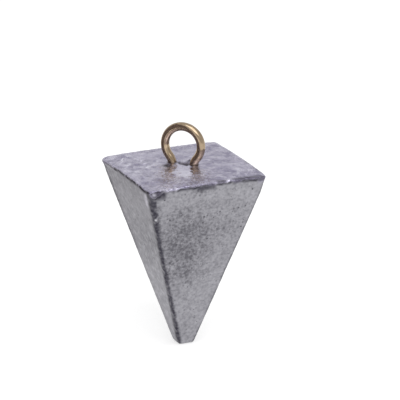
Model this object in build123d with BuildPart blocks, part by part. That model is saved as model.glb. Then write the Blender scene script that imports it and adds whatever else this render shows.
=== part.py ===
from build123d import *
from math import atan2, degrees, sqrt
import os

# Pyramid fishing sinker: a lead casting with a brass wire eye cast into its slightly domed top.
# The origin is the middle of the eye, where the line pulls, and +Z points up the line.
# X and Y run along the sides of the square top. The eye stands across the top's diagonal,
# because it lies between the two halves of the mould, which part along two slanted edges.

# Lead weight
top_side = 23.8  # side of the square pour face at its corners, before its rim is rounded
pour_dome = 0.55  # middle of the pour face above its corners, as the lead set in open air
body_height = 34.5  # corners of the pour face down to the tip
tip_side = 3.2  # side of the blunt tip, before its edges are rounded
edge_radius = 0.45  # rounding of the slanted edges, the rim and the tip, as the mould leaves them

# Brass wire eye
wire_diameter = 1.6
eye_opening = 5.5  # inside diameter of the ring
eye_height = 4.2  # middle of the ring above the corners of the pour face
leg_spacing = 4.2  # between the middles of the two legs
neck_radius = 2.5  # bend between ring and leg, along the middle of the wire
leg_depth = 9.0  # corners of the pour face down to the middle of the hooks
hook_radius = 2.0  # bend that turns a leg outwards, along the middle of the wire
hook_length = 2.5  # straight end past that bend
cast_gap = 0.02  # between the wire and the lead that set round it

# Slope of the four sides, ball that the domed pour face is a part of, and heights below the eye
side_slope = degrees(atan2((top_side - tip_side) / 2, body_height))
dome_radius = (top_side**2 / 2 + pour_dome**2) / (2 * pour_dome)
rim_z = -eye_height
hook_z = rim_z - leg_depth

# The neck bend touches the ring from outside and runs straight into the leg
ring_radius = (eye_opening + wire_diameter) / 2
leg_x = leg_spacing / 2
neck_reach = leg_x + neck_radius
neck_z = -sqrt((ring_radius + neck_radius) ** 2 - neck_reach**2)
neck_turn = degrees(atan2(-neck_z, neck_reach))
ring_turn = 180 + 2 * neck_turn
hook_x = leg_x + hook_radius

# Middle line of the wire, from the end of one hook over the ring to the end of the other
eye_plane = Plane(origin=(0, 0, 0), x_dir=(1, -1, 0), z_dir=(-1, -1, 0))
with BuildLine(eye_plane) as eye_line:
    hook = Line((-hook_x - hook_length, hook_z), (-hook_x, hook_z))
    heel = JernArc(hook @ 1, hook % 1, hook_radius, 90)
    leg = Line(heel @ 1, (-leg_x, neck_z))
    neck = JernArc(leg @ 1, leg % 1, neck_radius, neck_turn)
    ring = JernArc(neck @ 1, neck % 1, ring_radius, -ring_turn)
    far_neck = JernArc(ring @ 1, ring % 1, neck_radius, neck_turn)
    far_leg = Line(far_neck @ 1, (leg_x, hook_z + hook_radius))
    far_heel = JernArc(far_leg @ 1, far_leg % 1, hook_radius, 90)
    far_hook = Line(far_heel @ 1, (hook_x + hook_length, hook_z))
wire_end = Plane(origin=hook @ 0, z_dir=hook % 0)

# Eye: round wire bent along its middle line, with plain cut ends
with BuildPart() as brass_eye:
    with BuildSketch(wire_end):
        Circle(wire_diameter / 2)
    sweep(path=eye_line.wire())
brass_eye.part.label = "brass_eye"

# Weight: a square bar drafted to a blunt tip, domed on top and set round the legs and hooks
rim = Plane(origin=(0, 0, rim_z), z_dir=(0, 0, -1))
with BuildPart() as lead_body:
    with BuildSketch(rim.offset(-pour_dome)):
        Rectangle(top_side, top_side)
    extrude(amount=pour_dome + body_height)
    draft(lead_body.faces().filter_by(Axis.Z, reverse=True), rim, side_slope)
    with Locations((0, 0, rim_z + pour_dome - dome_radius)):
        Sphere(dome_radius, rotation=(90, 0, 0), mode=Mode.INTERSECT)
    fillet(lead_body.edges(), edge_radius)
    with BuildSketch(wire_end):
        Circle(wire_diameter / 2 + cast_gap)
    sweep(path=eye_line.wire(), mode=Mode.SUBTRACT)
lead_body.part.label = "lead_body"

os.makedirs("parts", exist_ok=True)
export_step(brass_eye.part, "parts/brass_eye.step")
export_step(lead_body.part, "parts/lead_body.step")
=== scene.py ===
# Pyramid fishing sinker: a weight cast in lead round a brass wire eye, on a plain white floor.
import math
import random

import bmesh
import bpy
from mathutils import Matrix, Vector, kdtree, noise


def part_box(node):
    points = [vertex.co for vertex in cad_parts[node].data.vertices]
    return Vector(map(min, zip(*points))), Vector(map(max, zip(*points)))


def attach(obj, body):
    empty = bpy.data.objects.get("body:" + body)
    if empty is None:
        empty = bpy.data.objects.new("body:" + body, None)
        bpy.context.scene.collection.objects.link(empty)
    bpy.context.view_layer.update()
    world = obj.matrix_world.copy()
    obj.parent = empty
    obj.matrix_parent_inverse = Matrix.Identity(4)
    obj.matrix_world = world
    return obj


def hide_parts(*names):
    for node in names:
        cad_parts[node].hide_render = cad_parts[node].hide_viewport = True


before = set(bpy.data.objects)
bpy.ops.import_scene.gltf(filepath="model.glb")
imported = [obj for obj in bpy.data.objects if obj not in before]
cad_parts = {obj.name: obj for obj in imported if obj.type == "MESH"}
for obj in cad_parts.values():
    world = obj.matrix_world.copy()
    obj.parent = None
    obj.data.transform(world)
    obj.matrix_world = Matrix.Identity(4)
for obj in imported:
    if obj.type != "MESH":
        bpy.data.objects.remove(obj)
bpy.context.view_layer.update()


# Lead weight: molten lead poured from above into a two-part mould. The four sides copy the mould,
# and the top set in open air. The lead set round the legs of the wire eye and holds them for good.
mm = 0.001
lead_low, lead_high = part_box("lead_body")
dome_rise = 0.55 * mm  # middle of the top above its corners
rim_z = lead_high.z - dome_rise
lead_height = rim_z - lead_low.z
top_half = 11.9 * mm  # half the side of the top at its corners, before its rim is rounded
tip_half = 1.6 * mm
edge_round = 0.5 * mm
side_slope = (top_half - tip_half) / lead_height

bpy.ops.object.select_all(action="DESELECT")
bpy.ops.mesh.primitive_cube_add(
    size=1,
    location=(0, 0, rim_z - lead_height / 2),
    scale=(2 * top_half, 2 * top_half, lead_height),
)
casting = bpy.context.object
casting.name = "lead_casting"
bpy.ops.object.transform_apply(location=True, rotation=True, scale=True)
bpy.ops.object.mode_set(mode="EDIT")
bpy.ops.mesh.select_all(action="DESELECT")
block = bmesh.from_edit_mesh(casting.data)
for face in block.faces:
    face.select_set(face.normal.z < -0.5)
bmesh.update_edit_mesh(casting.data)
tip_share = tip_half / top_half
bpy.ops.transform.resize(value=(tip_share, tip_share, 1), center_override=(0, 0, lead_low.z))
bpy.ops.mesh.select_all(action="SELECT")
bpy.ops.mesh.bevel(offset=edge_round, segments=4, affect="EDGES")
bpy.ops.object.mode_set(mode="OBJECT")

# Skin of lead that crept over the edge of the mould: one bead, copied along the rim. Each span is a
# side, its start and end as shares of that side, the size of its beads, and whether some of them get a
# painted glint.
rim_sides = {
    "front": (Vector((0, -1, 0)), Vector((1, 0, 0))),
    "right": (Vector((1, 0, 0)), Vector((0, 1, 0))),
    "back": (Vector((0, 1, 0)), Vector((-1, 0, 0))),
    "left": (Vector((-1, 0, 0)), Vector((0, -1, 0))),
}
rim_spans = [
    ("front", 0.09, 0.24, 0.9, True),
    ("front", 0.27, 0.50, 1.0, False),
    ("front", 0.55, 0.64, 0.9, False),
    ("front", 0.635, 0.69, 1.1, True),
    ("front", 0.77, 0.90, 0.9, False),
    ("back", 0.20, 0.34, 0.8, True),
    ("back", 0.60, 0.70, 0.7, False),
    ("left", 0.45, 0.93, 0.7, False),
]
bead_step = 0.45 * mm
bead_radius = 0.28 * mm
bead_height_share = 0.8
bead_sink = 0.12 * mm
bead_sag = 0.2 * mm
rim_inset = 0.45 * mm
rim_length_share = 0.97  # of a side, so that no bead stands past a corner
# Painted glints: share of the beads in a shining span that get one.
bright_share = 0.7  # of the beads in a span that shines
dice = random.Random(11)

bpy.ops.object.select_all(action="DESELECT")
bpy.ops.mesh.primitive_ico_sphere_add(subdivisions=2, radius=1)
bead = bpy.context.object
lumps = []
glint_spots = []


def add_lump(scale, location, turn=0.0):
    """A copy of the bead with its own mesh, stretched, turned about Z and put in its place."""
    lump = bead.copy()
    lump.data = bead.data.copy()
    lump.scale = scale
    lump.rotation_euler = (0, 0, turn)
    lump.location = location
    lumps.append(lump)


for side, start, end, size, gets_glint in rim_spans:
    outward, along = rim_sides[side]
    count = max(2, round((end - start) * 2 * top_half / bead_step))
    for k in range(count):
        share = start + (end - start) * (k + dice.random()) / count
        radius = bead_radius * size * dice.uniform(0.55, 1.25)
        length = radius * dice.uniform(0.9, 1.6)
        width = radius * dice.uniform(0.9, 1.6)
        turn = dice.uniform(0, math.pi)
        place = outward * (top_half - rim_inset * dice.uniform(0.8, 1.3))
        place += along * top_half * (2 * share - 1) * rim_length_share
        place.z = rim_z - bead_sink - bead_sag * dice.random() ** 2
        add_lump((length, width, bead_height_share * radius), place, turn)
        # A painted glint on some beads of a shining span.
        if gets_glint and dice.random() < bright_share:
            glint_spots.append((place.xy, 1.1 * radius))

# The drip that ran over the front corner, made of three lumps, each smaller than the one above:
# how far down and radius, in mm.
drip_x = -10.45 * mm
drip_proud = 0.16  # how far each lump stands out of the side, in mm
for drop, radius in ((0.40, 0.70), (0.85, 0.55), (1.20, 0.40)):
    drip_y = -top_half + side_slope * drop * mm + (radius - drip_proud) * mm
    add_lump((1.15 * radius * mm, radius * mm, 0.8 * radius * mm), (drip_x, drip_y, rim_z - drop * mm))

# Low blisters of dross on the pour face, more of them towards the left and the front.
blister_count = 110
blister_height_share = 0.36
blister_sink = 0.03 * mm
crowding = 1.35  # above 1, more of them lie on the left and at the front
face_reach = top_half - 1.2 * mm
for k in range(blister_count):
    radius = mm * dice.uniform(0.18, 0.50)
    length = radius * dice.uniform(1.0, 2.2)
    width = radius * dice.uniform(0.8, 1.4)
    turn = dice.uniform(0, math.pi)
    across = face_reach * (2 * dice.random() ** crowding - 1)
    along = face_reach * (2 * dice.random() ** crowding - 1)
    add_lump((length, width, blister_height_share * radius), (across, along, rim_z - blister_sink), turn)

# A few wrinkles, each with a row of painted glints along it: place across and along the face, length,
# all in mm, and turn in degrees.
wrinkles = [
    (-10.6, 9.9, 1.6, -25), (-7.2, 8.6, 1.5, -40), (-6.5, 7.1, 1.7, -60), (-6.0, 5.7, 1.2, -30),
    (-6.6, 1.8, 1.4, -28), (-5.4, 1.2, 1.2, -10), (-6.0, -8.4, 1.1, 10), (-1.7, -8.0, 1.3, 25),
    (-2.6, -4.6, 0.9, 0), (0.4, -7.4, 1.5, 20), (5.1, 0.5, 1.0, -35), (3.2, 3.4, 1.1, -50),
]
wrinkle_width = 0.20 * mm
wrinkle_height = 0.14 * mm
wrinkle_glint = 0.26 * mm
glint_steps = (-0.36, -0.12, 0.12, 0.36)  # shares of a wrinkle's length
for across, along, length, degrees in wrinkles:
    turn = math.radians(degrees)
    add_lump((0.5 * length * mm, wrinkle_width, wrinkle_height), (across * mm, along * mm, rim_z), turn)
    heading = Vector((math.cos(turn), math.sin(turn)))
    for step in glint_steps:
        spot = Vector((across, along)) * mm + heading * step * length * mm
        glint_spots.append((spot, wrinkle_glint))
for lump in lumps:
    bpy.context.collection.objects.link(lump)
    lump.select_set(True)
bpy.data.objects.remove(bead)
casting.select_set(True)
bpy.context.view_layer.objects.active = casting
bpy.ops.object.join()

# One skin over the block and its lumps, fine enough for the beads to show.
hide = casting.modifiers.new("hide", "REMESH")
hide.mode = "VOXEL"
hide.voxel_size = 0.18 * mm
bpy.ops.object.modifier_apply(modifier=hide.name)


# Set shape of the top: domed, a little proud on the right, with blunted corners. Where the lead crept
# over the edge of the mould it hangs as a lip with a crease under it: start, end and strength of each
# stretch, as shares of a side. Elsewhere the rim is just rounded.
right_rise = 0.12 * mm
lip_push = 0.08 * mm
lip_reach = 2.5 * mm  # how far down a lip and its crease can be
lip_drops = {"front": 0.40 * mm, "right": 0.35 * mm, "back": 0.35 * mm, "left": 0.26 * mm}
lip_spans = {
    "front": [
        (-0.05, 0.095, 1.0), (0.11, 0.235, 0.5), (0.235, 0.50, 1.0),
        (0.555, 0.706, 1.0), (0.773, 0.92, 1.0),
    ],
    "right": [(0.48, 0.66, 0.8)],
    "back": [(0.18, 0.36, 0.8), (0.58, 0.72, 0.7)],
    "left": [(0.30, 0.50, 0.8), (0.53, 0.78, 0.9), (0.80, 1.05, 1.0)],
}
crease_cut = 0.20 * mm
crease_width = 0.17 * mm
crease_drop = 0.08 * mm  # middle of the crease below the lip
corner_blunts = {(1, 1): 0.35 * mm, (-1, 1): 0.45 * mm, (1, -1): 0.52 * mm, (-1, -1): 0.40 * mm}
blunt_blend = 0.25 * mm
front_edge_knobs = 0.20 * mm
knob_step = 0.75 * mm
right_corner = Vector((top_half, -top_half))
right_corner_dip = 0.15 * mm
right_corner_reach = 1.4 * mm
shoulder_dip = 0.30 * mm  # along the far half of the left side
shoulder_reach = 0.9 * mm
calm_patch = Vector((-1.6, -4.0)) * mm  # where the skin set calm and mirrors the wire
calm_reach = 4.2 * mm
drip_reach = 1.0 * mm

# Round the legs: a low collar, a crack between them with a ridge behind it, and a pit and a lump.
leg_reach = 2.1 * mm  # from the middle of the top to the middle of each leg
legs = [Vector((s * leg_reach, -s * leg_reach)) / math.sqrt(2) for s in (-1, 1)]
collar_rise = 0.16 * mm
collar_radius = 0.8 * mm
collar_width = 0.5 * mm
slit_cut = 0.35 * mm
ridge_rise = 0.14 * mm
fold_rise = 0.09 * mm
foot_pit = Vector((-3.2, 0.5)) * mm
foot_pit_cut = 0.22 * mm
foot_lump = Vector((1.5, 0.15)) * mm
foot_lump_rise = 0.42 * mm
foot_reach = 0.75 * mm


def ramp(start, end, value):
    """Smooth step from 0 at start to 1 at end."""
    t = min(max((value - start) / (end - start), 0.0), 1.0)
    return t * t * (3 - 2 * t)


def hump(distance, width):
    """Bell curve, 1 at no distance."""
    return math.exp(-((distance / width) ** 2))


def rise_at(x, y):
    """How far the set top stands above the level of its corners."""
    return dome_rise * (1 - (x * x + y * y) / (2 * top_half**2)) + right_rise * ramp(1 * mm, 9 * mm, x)


def side_of(point):
    """The side that a point faces, and its share of the way along that side."""
    name = max(rim_sides, key=lambda side: point.dot(rim_sides[side][0]))
    return name, 0.5 + point.dot(rim_sides[name][1]) / (2 * top_half)


def lip_at(point):
    """Strength of the lip above a point of the rim, from 0 to 1, and how far down it hangs."""
    side, share = side_of(point)
    flat = Vector((point.x, point.y, 0))
    strength = 0.0
    for start, end, most in lip_spans[side]:
        inside = ramp(start - 0.015, start + 0.025, share) * (1 - ramp(end - 0.025, end + 0.015, share))
        strength = max(strength, most * inside)
    strength *= 0.95 + 0.8 * noise.noise(flat / (0.9 * mm))
    ragged = 0.20 * noise.noise(flat / (1.7 * mm)) + 0.12 * noise.noise(flat / (0.6 * mm))
    drip = 0.0
    if side == "front":
        drip = 1.15 * mm * hump(point.x - drip_x, drip_reach)
    elif side == "left":
        drip = 0.8 * mm * hump(point.y + top_half, 0.6 * mm)
    return min(max(strength, 0.0), 1.0), lip_drops[side] + ragged * mm + drip


def slit_at(x, y):
    """The short crack between the legs, where the metal drew apart as it set."""
    across = (x + y) / math.sqrt(2)
    along = (x - y) / math.sqrt(2)
    return hump(across - 0.2 * mm + 0.45 * along, 0.5 * mm) * (1 - ramp(1.0 * mm, 1.5 * mm, abs(along)))


def ridge_at(x, y):
    """The low ridge behind that crack."""
    along = abs(x - y) / math.sqrt(2)
    return hump(x + y - 2.1 * mm, 0.6 * mm) * (1 - ramp(0.5 * mm, 1.1 * mm, along))


def fold_at(x, y):
    """The fine folds in the skin of the pour face, most of them on the left and at the front."""
    spot = Vector((x, y, 0)) / mm
    line = hump(noise.noise(spot / 2.3), 0.14)
    broken = ramp(-0.05, 0.25, noise.noise(spot / 1.4 + Vector((7.0, 3.0, 5.0))))
    far_left = ramp(0.0, -7.0, spot.x) * (0.4 + 0.7 * ramp(-4.0, 3.0, spot.y))
    where = max(far_left, 0.5 * ramp(-4.0, -8.0, spot.y), 0.2)
    return line * broken * where * ramp(0.4, 1.4, top_half / mm - max(abs(spot.x), abs(spot.y)))


facing_up = [vertex.normal.z for vertex in casting.data.vertices]
for vertex in casting.data.vertices:
    x, y, z = vertex.co
    depth = max(rim_z - z, 0.0)
    if depth < lip_reach and facing_up[vertex.index] < 0.5:
        outward = rim_sides[side_of(vertex.co)[0]][0]
        strength, drop = lip_at(vertex.co)
        push = lip_push * (1 - ramp(0.6 * drop, drop, depth))
        cut = crease_cut * hump(depth - drop - crease_drop, crease_width)
        vertex.co += outward * strength * (push - cut)
    blunt = corner_blunts[(1 if x > 0 else -1, 1 if y > 0 else -1)]
    reach = math.sqrt(2) * (top_half - side_slope * depth)
    reach -= blunt * (1 - ramp(0.5 * mm, 4.5 * mm, depth))
    diagonal = (abs(x) + abs(y)) / math.sqrt(2)
    over = (diagonal - reach) / blunt_blend
    if over > -4:
        shrink = (reach - blunt_blend * math.log1p(math.exp(-over))) / diagonal
        if x < 0 and y < 0:
            knobs = noise.noise(Vector((0, 0, z)) / knob_step) * (1 - ramp(4 * mm, 9 * mm, depth))
            shrink += front_edge_knobs * knobs / diagonal * ramp(-3, 0, over)
        vertex.co.x *= shrink
        vertex.co.y *= shrink
    vertex.co.z += rise_at(x, y) * (1 - ramp(0.4 * mm, 3.0 * mm, depth))
    vertex.co.z -= right_corner_dip * hump((vertex.co.xy - right_corner).length, right_corner_reach)
    if depth < 1.2 * mm and x < -0.5 * top_half:
        shoulder = hump(x + top_half, shoulder_reach) * ramp(2.0 * mm, 6.5 * mm, y)
        vertex.co.z -= shoulder_dip * shoulder * (1 - ramp(0.3 * mm, 1.2 * mm, depth))
    if facing_up[vertex.index] > 0.5:
        leg_gap = min((vertex.co.xy - leg).length for leg in legs)
        vertex.co.z += collar_rise * hump(leg_gap - collar_radius, collar_width)
        vertex.co.z += ridge_rise * ridge_at(x, y) - slit_cut * slit_at(x, y)
        vertex.co.z += fold_rise * fold_at(x, y)
        vertex.co.z -= foot_pit_cut * hump((vertex.co.xy - foot_pit).length, foot_reach)
        vertex.co.z += foot_lump_rise * hump((vertex.co.xy - foot_lump).length, foot_reach)

# Unevenness of the set lead: waves on the pour face, much fainter ones on the moulded sides. Each
# is a group of points, the width of its waves and their height.
pour_group = casting.vertex_groups.new(name="pour_face")
side_group = casting.vertex_groups.new(name="mould_sides")
for vertex in casting.data.vertices:
    if vertex.co.z > rim_z - 0.4 * mm and vertex.normal.z > 0.3:
        inner = ramp(0.2 * mm, 1.4 * mm, top_half - max(abs(vertex.co.x), abs(vertex.co.y)))
        weight = (0.35 + 0.65 * inner) * min(1.0, 2 * vertex.normal.z - 0.6)
        weight *= 1 - 0.35 * hump((vertex.co.xy - calm_patch).length, calm_reach)
        pour_group.add([vertex.index], weight, "REPLACE")
    else:
        side_group.add([vertex.index], 1.0, "REPLACE")
waves = [
    ("pour_face", 2.6 * mm, 0.26 * mm),
    ("pour_face", 0.8 * mm, 0.22 * mm),
    ("mould_sides", 2.5 * mm, 0.06 * mm),
    ("mould_sides", 0.6 * mm, 0.07 * mm),
]
for group, width, depth in waves:
    texture = bpy.data.textures.new(f"{group}_wave", "CLOUDS")
    texture.noise_scale = width
    texture.noise_depth = 2
    wave = casting.modifiers.new(f"{group}_wave", "DISPLACE")
    wave.texture = texture
    wave.texture_coords = "LOCAL"
    wave.strength = depth
    wave.mid_level = 0.5
    wave.vertex_group = group
    bpy.ops.object.modifier_apply(modifier=wave.name)

# Hollow that the legs and hooks of the eye fill: the eye itself, a hair thicker, is cut out. Then
# what the waves pushed past the solid's own box is brought back to it.
hollow_gap = 0.02 * mm
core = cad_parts["brass_eye"].copy()
core.data = core.data.copy()
bpy.context.collection.objects.link(core)
bpy.ops.object.select_all(action="DESELECT")
core.select_set(True)
bpy.context.view_layer.objects.active = core
bpy.ops.object.mode_set(mode="EDIT")
bpy.ops.mesh.select_all(action="SELECT")
bpy.ops.mesh.remove_doubles(threshold=0.001 * mm)
bpy.ops.object.mode_set(mode="OBJECT")
swell = core.modifiers.new("swell", "DISPLACE")
swell.strength = hollow_gap
swell.mid_level = 0.0
bpy.ops.object.modifier_apply(modifier=swell.name)
bpy.ops.object.select_all(action="DESELECT")
casting.select_set(True)
bpy.context.view_layer.objects.active = casting
cut = casting.modifiers.new("hollow", "BOOLEAN")
cut.operation = "DIFFERENCE"
cut.solver = "MANIFOLD"
cut.object = core
bpy.ops.object.modifier_apply(modifier=cut.name)
bpy.data.objects.remove(core)
for vertex in casting.data.vertices:
    vertex.co.x = min(max(vertex.co.x, lead_low.x), lead_high.x)
    vertex.co.y = min(max(vertex.co.y, lead_low.y), lead_high.y)
    vertex.co.z = max(vertex.co.z, lead_low.z)
bpy.ops.object.shade_smooth()

# Wear and painted light, painted point by point as shares: dark oxide and painted shade
# (oxide_and_shade), pin holes (pitted), painted glints and sheen with some bare metal (painted_glint),
# the violet skin of the pour face where it fades out over the rim (skin), and where that face set calm
# (calm).
patch_size = 1.6 * mm
flake_size = 0.45 * mm
knob_size = 1.1 * mm
speck_size = 0.8 * mm
skin_depth = 1.2 * mm  # how far down a face that looks up still counts as poured
edge_inset = 0.12 * mm
far_edge_spread = 4.4  # times the width of the other edges
left_edge_width = 0.85 * mm  # least width on the left of the front edge
crease_shade_drop = 0.10 * mm
burr_gap = 1.9 * mm
burr_width = 0.75 * mm
foot_shade_reach = 0.85 * mm
pit_centre = Vector((-3.6, -16.4)) * mm  # across and up the front side
pit_reach = 7.0 * mm
pit_reach_up = 9.8 * mm
pit_reach_down = 11.0 * mm
# Spots with a painted glint: a nick in the front edge, and the drip.
edge_nick = Vector((-9.75, -10.1, -10.2)) * mm
edge_nick_reach = 0.22 * mm
drip_glint = Vector((-10.75, -11.75, -4.75)) * mm
drip_glint_reach = 0.35 * mm
# Patches of the top with a painted sheen, lighter than the oxide round them.
sheen_patch = Vector((-2.2, -5.6)) * mm
sheen_reach = 3.0 * mm
pale_patch = Vector((2.5, 6.5)) * mm
pale_reach = 2.6 * mm
# Dark violet painted shade on the rim and lip: side, start and end as shares of that side, reach inwards
# and reach down in mm, strength.
rim_shadings = [
    ("front", -0.05, 0.15, 0.4, 2.4, 1.0),
    ("front", 0.30, 0.43, 0.4, 0.8, 0.8),
    ("front", 0.40, 0.56, 0.4, 1.7, 0.75),
    ("front", 0.57, 0.645, 1.4, 0.8, 0.75),
    ("front", 0.70, 1.02, 1.5, 1.0, 0.7),
    ("right", 0.14, 0.24, 1.2, 0.5, 0.6),
    ("right", 0.32, 0.40, 1.2, 0.5, 0.6),
    ("left", 0.93, 1.02, 0.4, 3.2, 0.95),
]
glint_tree = kdtree.KDTree(len(glint_spots))
for k, (spot, radius) in enumerate(glint_spots):
    glint_tree.insert((spot.x, spot.y, 0), k)
glint_tree.balance()
painted = {"oxide_and_shade": [], "pitted": [], "painted_glint": [], "skin": [], "calm": []}
poured_points = []
for vertex in casting.data.vertices:
    x, y, z = vertex.co
    depth = rim_z + rise_at(x, y) - z
    half = top_half - side_slope * (rim_z - z)
    patchy = 0.5 + 0.5 * noise.noise(vertex.co / patch_size)
    flaky = 0.5 + 0.5 * noise.noise(vertex.co / flake_size)
    side, share = side_of(vertex.co)
    strength, drop = lip_at(vertex.co)
    on_lip = depth < drop or (depth < skin_depth and vertex.normal.z > 0.6)
    poured_points.append(on_lip)

    # Painted shade along the slanted edges, with some dark oxide: broken on the right, wide and faint
    # far left, knobbly in front.
    edge_gap = half - min(abs(x), abs(y)) - edge_inset
    edge_width = (0.14 + 0.30 * patchy + 0.26 * flaky) * mm
    edge = 1.0
    if x > 0:
        edge *= 0.75 * ramp(0.1, 0.5, patchy)
    elif y > 0:
        edge_width *= far_edge_spread
        edge *= 0.85 - 0.55 * ramp(13 * mm, 19 * mm, depth)
    else:
        knobbly = 0.5 + 0.5 * noise.noise(vertex.co / knob_size)
        edge_width *= 1.0 + 1.8 * ramp(0.35, 0.75, knobbly) * (1 - ramp(6 * mm, 11 * mm, depth))
        if side == "left":
            edge_width = max(edge_width, left_edge_width)
    edge *= 1 - ramp(0.35 * edge_width, 1.7 * edge_width, edge_gap)
    edge *= ramp(drop + 0.1 * mm, drop + 0.6 * mm, depth) * (0.6 + 0.6 * flaky)

    # Painted shade in the crease under the lip, on the rim, round the legs and in their crack, pit and
    # lump; dark oxide in specks on the left side.
    crease = 0.0
    if vertex.normal.z < 0.6:
        crease_reach = (0.34 if side == "left" else 0.23) * mm
        crease = strength * hump(depth - drop - crease_shade_drop, crease_reach)
    if side == "left":
        crease *= 0.3 + 0.7 * ramp(0.12, 0.34, share)
    shade_here = 0.0
    inward = half - max(abs(x), abs(y)) + 0.3 * mm * (patchy - 0.5)
    downward = depth + 0.5 * mm * (patchy - 0.5)
    for shaded_side, start, end, reach_in, reach_down, most in rim_shadings:
        if shaded_side == side:
            here = ramp(start - 0.02, start + 0.02, share) * (1 - ramp(end - 0.02, end + 0.02, share))
            here *= 1 - ramp(0.4 * reach_in * mm, reach_in * mm, inward)
            here *= 1 - ramp(0.5 * reach_down * mm, reach_down * mm, downward)
            shade_here = max(shade_here, most * here * (0.70 + 0.55 * flaky))
    # Painted shade round the legs, in the crack between them, in the pit and on the lump beside them.
    leg_gap = min((vertex.co.xy - leg).length for leg in legs)
    foot = max(0.8 * (1 - ramp(0.80 * mm, 1.35 * mm, leg_gap)), 1.5 * slit_at(x, y))
    foot = max(foot, 0.9 * hump((vertex.co.xy - foot_pit).length, foot_shade_reach))
    foot = max(foot, 0.9 * hump((vertex.co.xy - foot_lump).length, foot_reach))
    foot *= 1 - ramp(0.6 * mm, 1.0 * mm, depth)
    speck = noise.noise(vertex.co / speck_size) if side == "left" else 0.0
    # One share of painted shade and dark oxide: the most of the edge, crease, rim, legs and specks.
    oxide = max(edge, crease, foot, shade_here, 0.16 * ramp(0.10, 0.45, speck))
    painted["oxide_and_shade"].append(min(1.0, oxide))

    # Skin over the rim, and the pale burr beside the front edge of the left side.
    burr = 0.0
    if side == "left" and y < 0:
        burr = hump(edge_gap - burr_gap, burr_width) * (0.7 + 0.6 * flaky)
        burr *= ramp(0.6 * mm, 1.4 * mm, depth) * (1 - ramp(3.0 * mm, 4.4 * mm, depth))
    fade = (0.3 + 1.2 * ramp(0.30, 0.45, abs(share - 0.5))) * mm
    if side == "front" and share < 0.5:
        fade = 0.3 * mm
    painted["skin"].append(max(0.8 * burr, (1 - strength) * (1 - ramp(drop, drop + fade, depth))))

    # Pin holes: crowded left of the middle of the front and beside its left edge.
    if side == "front":
        tall = pit_reach_up if z > pit_centre.y else pit_reach_down
        off = Vector(((x - pit_centre.x) / pit_reach, (z - pit_centre.y) / tall))
        pits = 0.24 + 0.85 * (1 - ramp(0.10, 1.20, off.length + 0.4 * (patchy - 0.5)))
        beside_edge = (1 - ramp(0.5 * mm, 3.0 * mm, edge_gap)) * (1 - ramp(0.0, 2 * mm, x))
        pits = max(pits, 0.85 * beside_edge * (1 - ramp(16 * mm, 28 * mm, depth)))
        pits += 0.35 * hump(x - 4.5 * mm, 3 * mm) * hump(depth - 9 * mm, 4 * mm)
        pits += 0.6 * hump(x + 1.2 * mm, 1.6 * mm) * hump(depth - 1.2 * mm, 0.9 * mm)
    elif side == "left":
        pits = 0.22 + 0.32 * hump(depth - 13 * mm, 5 * mm) - 0.12 * ramp(17 * mm, 25 * mm, depth)
    else:
        pits = 0.35 + 0.3 * ramp(0.0, 0.5, noise.noise(vertex.co / (7 * mm)))
    painted["pitted"].append(min(1.0, pits))

    # Painted glints, with some bare metal: at a nick in the front edge, on the drip, the burr, specks of
    # the left side, beads, wrinkles, the ridge behind the crack and the folds. Painted sheen on lighter
    # patches of the top.
    glint = max(0.9 * hump((vertex.co - edge_nick).length, edge_nick_reach), 0.5 * burr)
    glint = max(glint, 0.5 * hump((vertex.co - drip_glint).length, drip_glint_reach))
    glint = max(glint, 0.13 * ramp(0.10, 0.45, -speck))
    if on_lip:
        k, gap = glint_tree.find((x, y, 0))[1:]
        glint = max(glint, 0.7 - 0.7 * ramp(0.4, 1.2, gap / glint_spots[k][1] + 0.8 * (0.5 - flaky)))
        glint = max(glint, 0.5 * ridge_at(x, y), fold_at(x, y))
        # Painted sheen: lighter patches in front of the legs, at the back on the right, and over the far
        # left.
        painted_sheen = 0.55 * hump((vertex.co.xy - sheen_patch).length, sheen_reach) * ramp(0.2, 0.6, patchy)
        painted_sheen += 0.25 * hump((vertex.co.xy - pale_patch).length, pale_reach) * ramp(0.2, 0.6, patchy)
        far_left = ramp(-2 * mm, -9 * mm, x) * (0.4 + 0.8 * ramp(-4 * mm, 3 * mm, y))
        painted_sheen += 0.46 * far_left * ramp(0.35, 0.75, patchy) * (0.5 + flaky)
        glint = max(glint, painted_sheen)
    painted["painted_glint"].append(glint)
    painted["calm"].append(hump((vertex.co.xy - calm_patch).length, calm_reach))
for name, values in painted.items():
    layer = casting.data.attributes.new(name, "FLOAT", "POINT")
    layer.data.foreach_set("value", values)


def colour(code):
    """Linear RGBA of an sRGB hex value."""
    parts = [int(code[k:k + 2], 16) / 255 for k in (1, 3, 5)]
    return (*[c / 12.92 if c <= 0.04045 else ((c + 0.055) / 1.055) ** 2.4 for c in parts], 1.0)


def add_node(tree, kind, settings=None, inputs=None):
    """A new node with its settings, and its sockets set to values or linked to other sockets."""
    node = tree.nodes.new(kind)
    for name, value in (settings or {}).items():
        setattr(node, name, value)
    for name, value in (inputs or {}).items():
        if isinstance(value, bpy.types.NodeSocket):
            tree.links.new(value, node.inputs[name])
        else:
            node.inputs[name].default_value = value
    return node


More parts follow.
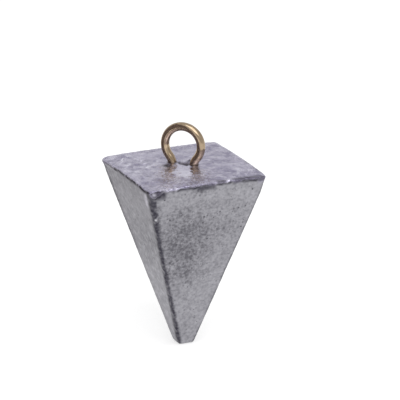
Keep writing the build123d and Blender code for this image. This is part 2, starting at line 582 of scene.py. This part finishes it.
# Moulded lead: cast metal under a dull grey oxide. The eye sees a matt, finely mottled grey with pin
# holes painted dark as the shade in them, and painted shade with some darker oxide along the edges and
# under the lip. The holes are drawn a little larger than life. Each layer of holes: spacing in mm, least
# and most reach as shares of it, colour of the painted shade in them.
hole_layers = [(0.5, 0.16, 0.42, "#66656B"), (1.15, 0.10, 0.27, "#58575D")]
moulded = bpy.data.materials.new("moulded_lead")
moulded.use_nodes = True
tree = moulded.node_tree
shader = tree.nodes["Principled BSDF"]
place = add_node(tree, "ShaderNodeTexCoord").outputs["Object"]
oxide_and_shade_share = add_node(tree, "ShaderNodeAttribute", {"attribute_name": "oxide_and_shade"}).outputs["Fac"]
pit_share = add_node(tree, "ShaderNodeAttribute", {"attribute_name": "pitted"}).outputs["Fac"]
painted_glint_share = add_node(tree, "ShaderNodeAttribute", {"attribute_name": "painted_glint"}).outputs["Fac"]
skin_share = add_node(tree, "ShaderNodeAttribute", {"attribute_name": "skin"}).outputs["Fac"]
mottle = add_node(tree, "ShaderNodeTexNoise", inputs={
    "Vector": place, "Scale": 1 / (3.0 * mm), "Detail": 3.0, "Roughness": 0.6})
grain = add_node(tree, "ShaderNodeTexNoise", inputs={
    "Vector": place, "Scale": 1 / (0.55 * mm), "Detail": 1.0, "Roughness": 0.6})
tone = add_node(tree, "ShaderNodeMath", {"operation": "MULTIPLY_ADD"}, {
    0: mottle.outputs["Fac"], 1: 0.5, 2: 0.25})
grain_depth = add_node(tree, "ShaderNodeMapRange", inputs={
    "Value": pit_share, "To Min": 0.95, "To Max": 1.75})
grain_shift = add_node(tree, "ShaderNodeMath", {"operation": "SUBTRACT"}, {
    0: grain.outputs["Fac"], 1: 0.5})
tone = add_node(tree, "ShaderNodeMath", {"operation": "MULTIPLY_ADD"}, {
    0: grain_shift.outputs[0], 1: grain_depth.outputs["Result"], 2: tone.outputs[0]})
tone = add_node(tree, "ShaderNodeMath", {"operation": "MULTIPLY_ADD"}, {
    0: pit_share, 1: -0.48, 2: tone.outputs[0]})
tone_share = add_node(tree, "ShaderNodeMapRange", inputs={
    "Value": tone.outputs[0], "From Min": -0.2, "From Max": 0.9})
side_colour = add_node(tree, "ShaderNodeMix", {"data_type": "RGBA"}, {
    0: tone_share.outputs["Result"], 6: colour("#69686E"), 7: colour("#BFBEC4")})
# Pin holes, each painted dark as the shade in it.
for spacing, least, most, shade in hole_layers:
    holes = add_node(tree, "ShaderNodeTexVoronoi", inputs={
        "Vector": place, "Scale": 1 / (spacing * mm)})
    kind = add_node(tree, "ShaderNodeSeparateColor", inputs={0: holes.outputs["Color"]})
    hole_reach = add_node(tree, "ShaderNodeMapRange", inputs={
        "Value": kind.outputs[0], "To Min": least, "To Max": most})
    hole_shape = add_node(tree, "ShaderNodeMapRange", {"interpolation_type": "SMOOTHSTEP"}, {
        "Value": holes.outputs["Distance"], "From Min": hole_reach.outputs["Result"], "From Max": 0.04,
        "To Min": 0.0, "To Max": 1.0})
    hole_here = add_node(tree, "ShaderNodeMath", {"operation": "LESS_THAN"}, {
        0: kind.outputs[1], 1: pit_share})
    hole = add_node(tree, "ShaderNodeMath", {"operation": "MULTIPLY"}, {
        0: hole_shape.outputs["Result"], 1: hole_here.outputs[0]})
    side_colour = add_node(tree, "ShaderNodeMix", {"data_type": "RGBA"}, {
        0: hole.outputs[0], 6: side_colour.outputs[2], 7: colour(shade)})
with_skin = add_node(tree, "ShaderNodeMix", {"data_type": "RGBA"}, {
    0: skin_share, 6: side_colour.outputs[2], 7: colour("#A5A1B3")})
# Painted shade with some dark oxide, mixed over the grey.
with_oxide_and_shade = add_node(tree, "ShaderNodeMix", {"data_type": "RGBA"}, {
    0: oxide_and_shade_share, 6: with_skin.outputs[2], 7: colour("#3F3D47")})
# Painted glints mixed in last, towards near white.
with_painted_glint = add_node(tree, "ShaderNodeMix", {"data_type": "RGBA"}, {
    0: painted_glint_share, 6: with_oxide_and_shade.outputs[2], 7: colour("#F4F3F7")})
tree.links.new(with_painted_glint.outputs[2], shader.inputs["Base Color"])
dents = add_node(tree, "ShaderNodeMath", {"operation": "MULTIPLY_ADD"}, {
    0: hole.outputs[0], 1: -1.5, 2: grain.outputs["Fac"]})
bump = add_node(tree, "ShaderNodeBump", inputs={
    "Height": dents.outputs[0], "Strength": 0.6, "Distance": 0.1 * mm})
tree.links.new(bump.outputs[0], shader.inputs["Normal"])
dull = add_node(tree, "ShaderNodeMapRange", inputs={
    "Value": grain.outputs["Fac"], "From Min": 0.3, "From Max": 0.7, "To Min": 0.42, "To Max": 0.6})
tree.links.new(dull.outputs["Result"], shader.inputs["Roughness"])
shader.inputs["Metallic"].default_value = 1.0

# Poured lead: metal that set in open air. It keeps some shine under a thin violet-grey oxide, with
# painted glints on its beads, wrinkles and folds, painted flecks and patches of sheen, painted shade on
# its rim and round the legs, and where it set calm it mirrors the legs of the eye.
poured = bpy.data.materials.new("poured_lead")
poured.use_nodes = True
tree = poured.node_tree
shader = tree.nodes["Principled BSDF"]
place = add_node(tree, "ShaderNodeTexCoord").outputs["Object"]
oxide_and_shade_share = add_node(tree, "ShaderNodeAttribute", {"attribute_name": "oxide_and_shade"}).outputs["Fac"]
painted_glint_share = add_node(tree, "ShaderNodeAttribute", {"attribute_name": "painted_glint"}).outputs["Fac"]
calm_share = add_node(tree, "ShaderNodeAttribute", {"attribute_name": "calm"}).outputs["Fac"]
bloom = add_node(tree, "ShaderNodeTexNoise", inputs={
    "Vector": place, "Scale": 1 / (2.2 * mm), "Detail": 3.0, "Roughness": 0.6})
bloom_share = add_node(tree, "ShaderNodeMapRange", inputs={
    "Value": bloom.outputs["Fac"], "From Min": 0.35, "From Max": 0.68})
oxide = add_node(tree, "ShaderNodeMix", {"data_type": "RGBA"}, {
    0: bloom_share.outputs["Result"], 6: colour("#9A95AE"), 7: colour("#CCC8DB")})
# Flecks of the skin: the same noise gives the bump, and where it peaks the colour is painted pale as
# glints of light.
fleck = add_node(tree, "ShaderNodeTexNoise", inputs={
    "Vector": place, "Scale": 1 / (0.55 * mm), "Detail": 2.0, "Roughness": 0.7, "Distortion": 0.8})
painted_fleck_share = add_node(tree, "ShaderNodeMapRange", inputs={
    "Value": fleck.outputs["Fac"], "From Min": 0.60, "From Max": 0.74, "To Max": 0.6})
with_painted_flecks = add_node(tree, "ShaderNodeMix", {"data_type": "RGBA"}, {
    0: painted_fleck_share.outputs["Result"], 6: oxide.outputs[2], 7: colour("#DFDCEB")})
# Painted shade with some dark oxide, mixed over the violet grey.
with_oxide_and_shade = add_node(tree, "ShaderNodeMix", {"data_type": "RGBA"}, {
    0: oxide_and_shade_share, 6: with_painted_flecks.outputs[2], 7: colour("#46424E")})
# Painted glints mixed in last, towards pale violet white.
with_painted_glint = add_node(tree, "ShaderNodeMix", {"data_type": "RGBA"}, {
    0: painted_glint_share, 6: with_oxide_and_shade.outputs[2], 7: colour("#EDEBF9")})
tree.links.new(with_painted_glint.outputs[2], shader.inputs["Base Color"])
relief = add_node(tree, "ShaderNodeMapRange", inputs={
    "Value": calm_share, "To Min": 1.0, "To Max": 0.2})
bump = add_node(tree, "ShaderNodeBump", inputs={
    "Height": fleck.outputs["Fac"], "Strength": relief.outputs["Result"], "Distance": 0.22 * mm})
tree.links.new(bump.outputs[0], shader.inputs["Normal"])
gloss = add_node(tree, "ShaderNodeMapRange", inputs={
    "Value": calm_share, "To Min": 0.24, "To Max": 0.11})
tree.links.new(gloss.outputs["Result"], shader.inputs["Roughness"])
shader.inputs["Metallic"].default_value = 1.0

casting.data.materials.clear()
casting.data.materials.append(moulded)
casting.data.materials.append(poured)
for face in casting.data.polygons:
    face.material_index = int(sum(poured_points[k] for k in face.vertices) * 2 > len(face.vertices))
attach(casting, "root")
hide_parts("lead_body")


# Wire eye: hard brass wire bent round a pin into a ring with two necked legs, then aged.
# Its legs and outward hooks are locked in the lead.
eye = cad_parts["brass_eye"]

# Aged brass: drawn wire under a thin brown tarnish, rubbed lighter in patches. The eye sees a dull
# gold that still mirrors the light and the lead.
aged_brass = bpy.data.materials.new("aged_brass")
aged_brass.use_nodes = True
tree = aged_brass.node_tree
shader = tree.nodes["Principled BSDF"]
place = add_node(tree, "ShaderNodeTexCoord").outputs["Object"]
tarnish = add_node(tree, "ShaderNodeTexNoise", inputs={
    "Vector": place, "Scale": 1 / (1.4 * mm), "Detail": 3.0, "Roughness": 0.6})
tarnish_share = add_node(tree, "ShaderNodeMapRange", inputs={
    "Value": tarnish.outputs["Fac"], "From Min": 0.38, "From Max": 0.66})
brass_colour = add_node(tree, "ShaderNodeMix", {"data_type": "RGBA"}, {
    0: tarnish_share.outputs["Result"], 6: colour("#B4A189"), 7: colour("#97846C")})
tree.links.new(brass_colour.outputs[2], shader.inputs["Base Color"])
shine = add_node(tree, "ShaderNodeMapRange", inputs={
    "Value": tarnish.outputs["Fac"], "From Min": 0.3, "From Max": 0.7, "To Min": 0.08, "To Max": 0.15})
tree.links.new(shine.outputs["Result"], shader.inputs["Roughness"])
shader.inputs["Metallic"].default_value = 1.0
eye.data.materials.clear()
eye.data.materials.append(aged_brass)


# Floor: a sheet of paper under the tip, wide enough to fill the picture. It is plain white to the
# camera and in the metal, and keeps the faint shadow of the weight.
floor_reach = 6.0
floor_gap = 0.02 * mm
floor_lift = 0.53  # glow that brings the grey of the lit paper up to white
bpy.ops.object.select_all(action="DESELECT")
bpy.ops.mesh.primitive_plane_add(size=2 * floor_reach, location=(0, 0, lead_low.z - floor_gap))
floor = bpy.context.object
floor.name = "floor"
white_sheet = bpy.data.materials.new("white_sheet")
white_sheet.use_nodes = True
tree = white_sheet.node_tree
tree.nodes.remove(tree.nodes["Principled BSDF"])
paper = add_node(tree, "ShaderNodeBsdfDiffuse", inputs={"Color": colour("#CCCCCC")})
path = add_node(tree, "ShaderNodeLightPath")
seen = add_node(tree, "ShaderNodeMath", {"operation": "MAXIMUM"}, {
    0: path.outputs["Is Camera Ray"], 1: path.outputs["Is Glossy Ray"]})
seen = add_node(tree, "ShaderNodeMath", {"operation": "MAXIMUM"}, {
    0: seen.outputs[0], 1: path.outputs["Is Transmission Ray"]})
lift = add_node(tree, "ShaderNodeMath", {"operation": "MULTIPLY"}, {0: seen.outputs[0], 1: floor_lift})
glow = add_node(tree, "ShaderNodeEmission", inputs={"Strength": lift.outputs[0]})
sheet = add_node(tree, "ShaderNodeAddShader", inputs={0: paper.outputs[0], 1: glow.outputs[0]})
tree.links.new(sheet.outputs[0], tree.nodes["Material Output"].inputs["Surface"])
floor.data.materials.append(white_sheet)

# Camera: found from the seven corners of the weight that the photograph shows. Its place is in
# shares of the top's side: to the right, down and back, as the camera sees it, from the middle of
# the rim.
azimuth = math.radians(-23.83)
elevation = math.radians(18.51)
camera_unit = 23.5 * mm
right_share = 0.1332
down_share = 0.2612
back_share = 20
back = Vector((
    math.sin(azimuth) * math.cos(elevation),
    -math.cos(azimuth) * math.cos(elevation),
    math.sin(elevation),
))
right = Vector((math.cos(azimuth), math.sin(azimuth), 0))
up = back.cross(right)
camera_data = bpy.data.cameras.new("camera")
camera_data.sensor_width = 36
camera_data.lens = 229.4
camera_data.clip_start = 0.005
camera = bpy.data.objects.new("camera", camera_data)
camera.location = Vector((0, 0, rim_z))
camera.location += camera_unit * (right_share * right - down_share * up + back_share * back)
camera.rotation_euler = back.to_track_quat("Z", "Y").to_euler()
bpy.context.collection.objects.link(camera)
bpy.context.scene.camera = camera
bpy.context.scene.view_settings.view_transform = "Standard"

# Light: a white tent all round, and a soft box in front and above. A grey card on the left, out of
# the picture, gives the wire its dark flank. Sizes are in metres.
world = bpy.data.worlds.new("tent")
bpy.context.scene.world = world
world.use_nodes = True
tent = world.node_tree.nodes["Background"]
tent.inputs["Color"].default_value = (1.0, 1.0, 1.0, 1.0)
tent.inputs["Strength"].default_value = 0.78

box_turn = azimuth + math.radians(14)
box_rise = math.radians(52)
box_distance = 0.6
box_way = Vector((
    math.sin(box_turn) * math.cos(box_rise),
    -math.cos(box_turn) * math.cos(box_rise),
    math.sin(box_rise),
))
bpy.ops.object.light_add(type="AREA", location=box_distance * box_way)
soft_box = bpy.context.object
soft_box.name = "soft_box"
soft_box.data.shape = "RECTANGLE"
soft_box.data.size = 0.46
soft_box.data.size_y = 0.59
soft_box.data.energy = 1.70
soft_box.rotation_euler = box_way.to_track_quat("Z", "Y").to_euler()

card_left = 0.055
card_front = 0.034
card_height = 0.016
bpy.ops.object.select_all(action="DESELECT")
bpy.ops.mesh.primitive_plane_add(size=1, location=-card_left * right + Vector((0, 0, card_height)))
card = bpy.context.object
card.name = "grey_card"
card.location += card_front * Vector((back.x, back.y, 0))
card.scale = (0.125, 0.124, 1)
card.rotation_euler = (0, math.radians(90), azimuth)
card.visible_camera = False
card.visible_diffuse = False
card.visible_shadow = False
card_paint = bpy.data.materials.new("grey_card")
card_paint.use_nodes = True
shader = card_paint.node_tree.nodes["Principled BSDF"]
shader.inputs["Base Color"].default_value = colour("#8C8288")
shader.inputs["Roughness"].default_value = 0.9
card.data.materials.append(card_paint)
